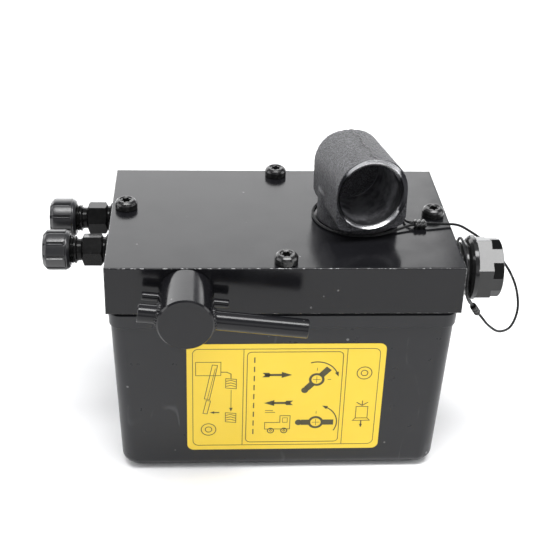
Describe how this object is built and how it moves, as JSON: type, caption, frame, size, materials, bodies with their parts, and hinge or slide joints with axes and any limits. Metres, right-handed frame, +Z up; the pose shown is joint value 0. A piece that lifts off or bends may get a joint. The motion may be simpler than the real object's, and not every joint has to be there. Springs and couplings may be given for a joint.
{
  "type": "hydraulic power unit",
  "caption": "Hand-pumped hydraulic unit: oil tank under a steel pump block with a swinging lever socket, a rotary valve lever, capped hose ports and a tethered filler plug.",
  "frame": {"origin": "centre of the tank's flat bottom", "axes": "+Z up, +X towards the filler plug, +Y to the back, away from the valve lever"},
  "size_m": [0.285, 0.1584, 0.1931],
  "materials": {
    "black_paint": "satin-gloss black paint",
    "tank_plastic": "moulded dark grey plastic, fine satin grain",
    "label_film": "yellow printed film, satin",
    "cast_socket": "rough sand-cast skin, dark coating",
    "black_steel": "black oxide, satin",
    "cap_plastic": "moulded black plastic, satin-gloss",
    "seal_rubber": "black nitrile rubber",
    "plain_steel": "ground steel",
    "brass": "turned brass",
    "bronze": "sintered bronze",
    "strainer_mesh": "fine woven wire",
    "wire_rope": "dark coated wire rope"
  },
  "bodies": {
    "unit": {"reservoir": "tank_plastic", "tank_gasket": "seal_rubber", "instruction_label": "label_film", "pump_block": "black_paint", "screw_insert_left": "brass", "cover_screw_left": "black_steel", "screw_insert_right": "brass", "cover_screw_right": "black_steel", "screw_insert_front": "brass", "cover_screw_front": "black_steel", "screw_insert_back": "brass", "cover_screw_back": "black_steel", "port_fitting_back": "black_steel", "fitting_seal_back": "seal_rubber", "port_fitting_front": "black_steel", "fitting_seal_front": "seal_rubber", "shaft_bush": "bronze", "shaft_seal": "seal_rubber", "seal_retainer": "plain_steel", "pump_cylinder": "plain_steel", "cylinder_screw_left": "black_steel", "cylinder_screw_right": "black_steel", "end_plug_left": "black_steel", "end_plug_right": "black_steel", "suction_fitting": "brass", "suction_spring": "plain_steel", "suction_tube": "plain_steel", "suction_strainer": "strainer_mesh", "delivery_seat": "brass", "delivery_spring": "plain_steel", "relief_body": "brass", "relief_spring": "plain_steel", "relief_screw": "plain_steel", "relief_locknut": "plain_steel", "return_tube": "plain_steel", "lanyard": "wire_rope", "lanyard_ferrule_socket": "black_steel", "lanyard_ferrule_plug": "black_steel"},
    "pump_lever": {"lever_socket": "cast_socket", "pump_shaft": "plain_steel", "crank_arm": "plain_steel", "crank_pin": "plain_steel", "crank_roll_pin": "plain_steel"},
    "piston": {"pump_piston": "plain_steel", "piston_seal_left": "seal_rubber", "piston_seal_right": "seal_rubber"},
    "valve_lever": {"valve_spool": "plain_steel", "spool_o_ring_front": "seal_rubber", "spool_o_ring_back": "seal_rubber", "spool_hub": "black_paint", "spool_lever": "black_paint", "hub_cross_pin": "black_paint"},
    "filler_seal": {"filler_seal": "seal_rubber"},
    "filler_plug": {"filler_plug": "black_steel"},
    "port_cap_front": {"port_cap_front": "cap_plastic"},
    "port_cap_back": {"port_cap_back": "cap_plastic"},
    "suction_ball": {"suction_ball": "plain_steel"},
    "delivery_ball": {"delivery_ball": "plain_steel"},
    "relief_poppet": {"relief_poppet": "plain_steel"}
  },
  "joints": [
    {"name": "lever_swing", "type": "hinge", "parent": "unit", "child": "pump_lever", "pos_m": [0.046, 0, 0.1425], "axis": [0, 0, 1], "range_deg": [-40, 20]},
    {"name": "piston_stroke", "type": "slide", "parent": "unit", "child": "piston", "axis": [1, 0, 0], "range_m": [-0.008, 0.004]},
    {"name": "valve_turn", "type": "hinge", "parent": "unit", "child": "valve_lever", "pos_m": [-0.0552, -0.07, 0.127], "axis": [0, -1, 0], "range_deg": [0, 90]},
    {"name": "plug_unscrew", "type": "slide", "parent": "unit", "child": "filler_seal", "axis": [1, 0, 0], "range_m": [0, 0.014]},
    {"name": "plug_turn", "type": "hinge", "parent": "filler_seal", "child": "filler_plug", "pos_m": [0.1, -0.0356, 0.1278], "axis": [1, 0, 0], "range_deg": [0, 2520]},
    {"name": "cap_off_front", "type": "slide", "parent": "unit", "child": "port_cap_front", "axis": [-1, 0, 0], "range_m": [0, 0.02]},
    {"name": "cap_off_back", "type": "slide", "parent": "unit", "child": "port_cap_back", "axis": [-1, 0, 0], "range_m": [0, 0.02]},
    {"name": "suction_ball_lift", "type": "slide", "parent": "unit", "child": "suction_ball", "axis": [0, 0, 1], "range_m": [0, 0.0015], "stiffness_N_per_m": 300, "springref_m": -0.001, "deforming": ["suction_spring"]},
    {"name": "delivery_ball_lift", "type": "slide", "parent": "unit", "child": "delivery_ball", "axis": [0, 0, 1], "range_m": [0, 0.0015], "stiffness_N_per_m": 300, "springref_m": -0.001, "deforming": ["delivery_spring"]},
    {"name": "relief_lift", "type": "slide", "parent": "unit", "child": "relief_poppet", "axis": [0, 0, -1], "range_m": [0, 0.0015], "stiffness_N_per_m": 300, "springref_m": -0.001, "deforming": ["relief_spring"]}
  ],
  "couplings": [
    {"joint": "lever_swing", "follows": "piston_stroke", "rad_per_m": 87.26},
    {"joint": "plug_turn", "follows": "plug_unscrew", "rad_per_m": 3141.6}
  ]
}
